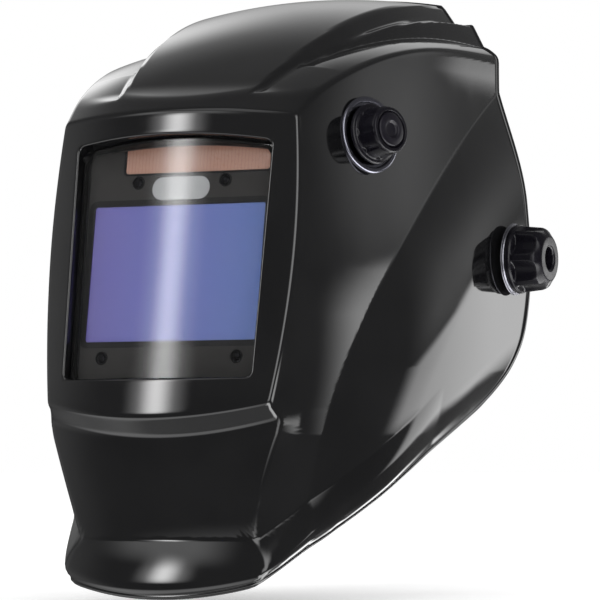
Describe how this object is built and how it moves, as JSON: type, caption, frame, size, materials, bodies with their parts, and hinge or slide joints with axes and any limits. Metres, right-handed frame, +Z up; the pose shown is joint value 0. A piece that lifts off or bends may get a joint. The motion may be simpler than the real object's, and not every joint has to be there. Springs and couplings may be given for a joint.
{
  "type": "welding helmet",
  "caption": "Auto-darkening welding helmet with a glossy tilting shell, framed viewing window, outside shade knob, pivot knobs and ratchet headgear.",
  "frame": {"origin": "middle of the tilt axis between the two pivots, about the centre of the wearer's head", "axes": "the wearer looks along -Y, +X is the wearer's left, +Z is up"},
  "size_m": [0.2572, 0.3492, 0.3225],
  "materials": {
    "shell_gloss": "gloss",
    "clear_lens": "clear",
    "seal": "matte",
    "case": "satin",
    "solar": "satin",
    "filter": "mirror-like",
    "lcd": "gloss",
    "sensor": "gloss",
    "label": "satin",
    "board": "satin",
    "steel": "brushed",
    "dark_metal": "satin",
    "knob": "satin",
    "red_button": "satin",
    "pot": "satin",
    "nylon": "matte",
    "headgear_plastic": "matte",
    "sweat_leather": "matte",
    "pad_fabric": "matte",
    "lead": "matte"
  },
  "bodies": {
    "headgear": {"headband": "headgear_plastic", "side_plates": "headgear_plastic", "band_rivets": "steel", "crown_strap_left": "headgear_plastic", "crown_strap_right": "headgear_plastic", "strap_studs": "steel", "sweatband": "sweat_leather", "rear_cradle": "headgear_plastic", "rear_pad": "pad_fabric", "ratchet_housing": "headgear_plastic", "ratchet_cover": "headgear_plastic"},
    "carriage": {"pivot_bolts": "steel", "slider_blocks": "headgear_plastic", "limit_plates": "dark_metal", "inner_washers": "nylon", "outer_washers": "dark_metal"},
    "shell": {"shell": "shell_gloss", "cover_lens": "clear_lens", "lens_seal": "seal", "filter_case": "case", "filter_back": "case", "solar_cell": "solar", "filter_glass": "filter", "lcd_stack": "lcd", "sensor_lenses": "sensor", "rating_label": "label", "circuit_board": "board", "coin_cells": "steel", "inner_cover_lens": "clear_lens", "filter_holder": "headgear_plastic", "holder_screws": "steel", "shade_ring": "dark_metal", "shade_pot": "pot", "shade_nut": "steel", "shade_lead": "lead", "lead_clips": "nylon", "lead_plug": "knob", "pivot_bushings": "nylon", "stop_pegs": "steel"},
    "pivot_knob_left": {"pivot_knob_left": "knob"},
    "pivot_knob_right": {"pivot_knob_right": "knob"},
    "shade_knob": {"shade_knob": "knob", "shade_knob_cap": "knob", "shade_shaft": "steel"},
    "sensitivity_knob": {"sensitivity_knob": "knob"},
    "delay_knob": {"delay_knob": "knob"},
    "test_button": {"test_button": "red_button"},
    "battery_cap_left": {"battery_cap_left": "knob"},
    "battery_cap_right": {"battery_cap_right": "knob"},
    "retainer_bail": {"retainer_bail": "steel"},
    "ratchet_knob": {"ratchet_knob": "knob", "ratchet_pinion": "nylon"}
  },
  "joints": [
    {"name": "reach", "type": "slide", "parent": "headgear", "child": "carriage", "axis": [0, 1, 0], "range_m": [-0.01, 0.01]},
    {"name": "tilt", "type": "hinge", "parent": "carriage", "child": "shell", "pos_m": [0, 0, 0], "axis": [-1, 0, 0], "range_deg": [0, 62]},
    {"name": "pivot_knob_left_turn", "type": "hinge", "parent": "carriage", "child": "pivot_knob_left", "pos_m": [0.115, 0, 0], "axis": [1, 0, 0], "range_deg": [0, 270]},
    {"name": "pivot_knob_right_turn", "type": "hinge", "parent": "carriage", "child": "pivot_knob_right", "pos_m": [-0.115, 0, 0], "axis": [-1, 0, 0], "range_deg": [0, 270]},
    {"name": "shade_turn", "type": "hinge", "parent": "shell", "child": "shade_knob", "pos_m": [0.0815, -0.131, 0.059], "axis": [0.9327, -0.3395, 0.1219], "range_deg": [0, 270]},
    {"name": "sensitivity_turn", "type": "hinge", "parent": "shell", "child": "sensitivity_knob", "pos_m": [0.031, -0.16312, 0.04056], "axis": [0, 0.9855, -0.1695], "range_deg": [0, 270]},
    {"name": "delay_turn", "type": "hinge", "parent": "shell", "child": "delay_knob", "pos_m": [-0.031, -0.16312, 0.04056], "axis": [0, 0.9855, -0.1695], "range_deg": [0, 270]},
    {"name": "test_press", "type": "slide", "parent": "shell", "child": "test_button", "axis": [0, -0.9855, 0.1695], "range_m": [0, 0.0015], "stiffness_N_per_m": 400, "springref_m": -0.0008},
    {"name": "battery_cap_left_turn", "type": "hinge", "parent": "shell", "child": "battery_cap_left", "pos_m": [0.04, -0.1846, -0.06067], "axis": [0, 0.9855, -0.1695], "range_deg": [0, 45]},
    {"name": "battery_cap_right_turn", "type": "hinge", "parent": "shell", "child": "battery_cap_right", "pos_m": [-0.04, -0.1846, -0.06067], "axis": [0, 0.9855, -0.1695], "range_deg": [0, 45]},
    {"name": "bail_swing", "type": "hinge", "parent": "shell", "child": "retainer_bail", "pos_m": [0, -0.16205, 0.05153], "axis": [1, 0, 0], "range_deg": [0, 70]},
    {"name": "ratchet_turn", "type": "hinge", "parent": "headgear", "child": "ratchet_knob", "pos_m": [0, 0.09875, -0.00163], "axis": [0, 0.9578, -0.2874], "continuous": true}
  ]
}
